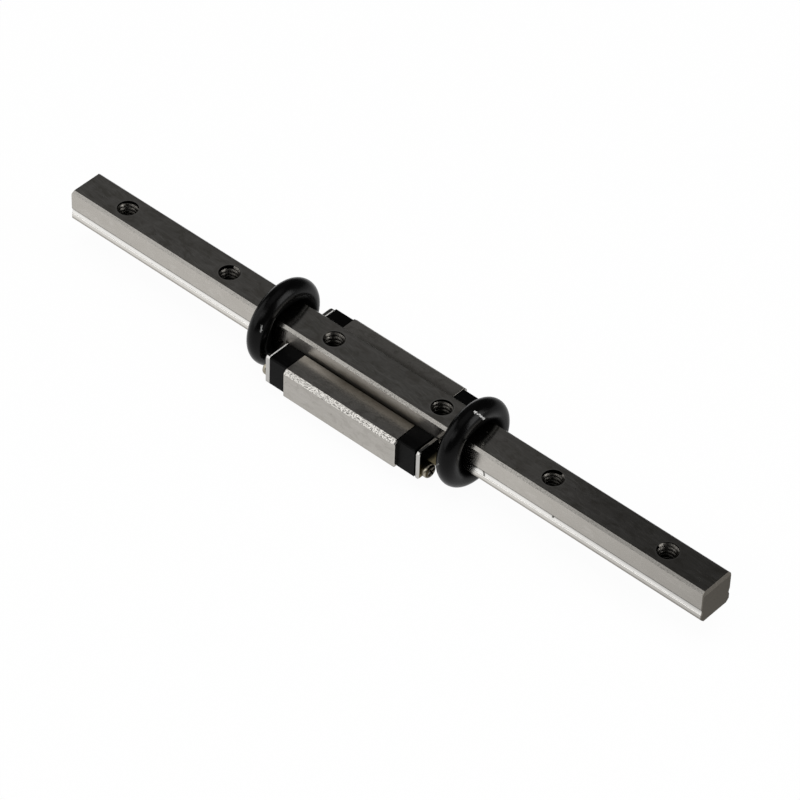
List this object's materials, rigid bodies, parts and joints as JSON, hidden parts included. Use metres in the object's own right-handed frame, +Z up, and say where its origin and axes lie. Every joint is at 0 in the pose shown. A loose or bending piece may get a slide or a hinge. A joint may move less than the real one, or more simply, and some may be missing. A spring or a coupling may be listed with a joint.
{
  "type": "miniature linear guide rail",
  "caption": "Miniature linear ball guide: a slim tapped steel rail lying mounting face up, with a U-shaped ball carriage that slides along it between two rubber stop rings.",
  "frame": {"origin": "on the floor under the middle of the rail's length and width", "axes": "+X along the rail, +Y across it, +Z up, out of the rail's tapped mounting face"},
  "size_m": [0.0584, 0.0076, 0.0069],
  "materials": {
    "rail_steel": "ground and hardened",
    "block_steel": "ground and hardened",
    "cap_plastic": "moulded, matt black",
    "plate_steel": "stamped stainless sheet",
    "screw_steel": "plain",
    "ball_steel": "polished",
    "ring_rubber": "moulded, matt black"
  },
  "bodies": {
    "rail": {"rail": "rail_steel"},
    "carriage": {"carriage_block": "block_steel", "left_end_cap": "cap_plastic", "right_end_cap": "cap_plastic", "left_end_plate": "plate_steel", "right_end_plate": "plate_steel", "left_front_screw": "screw_steel", "left_rear_screw": "screw_steel", "right_front_screw": "screw_steel", "right_rear_screw": "screw_steel", "bearing_balls": "ball_steel"},
    "left_stop": {"left_stop_ring": "ring_rubber"},
    "right_stop": {"right_stop_ring": "ring_rubber"}
  },
  "joints": [
    {"name": "carriage_slide", "type": "slide", "parent": "rail", "child": "carriage", "axis": [1, 0, 0], "range_m": [-0.0125, 0.0125]},
    {"name": "left_stop_slide", "type": "slide", "parent": "carriage", "child": "left_stop", "axis": [-1, 0, 0], "range_m": [0, 0.006]},
    {"name": "right_stop_slide", "type": "slide", "parent": "carriage", "child": "right_stop", "axis": [1, 0, 0], "range_m": [0, 0.008]}
  ]
}
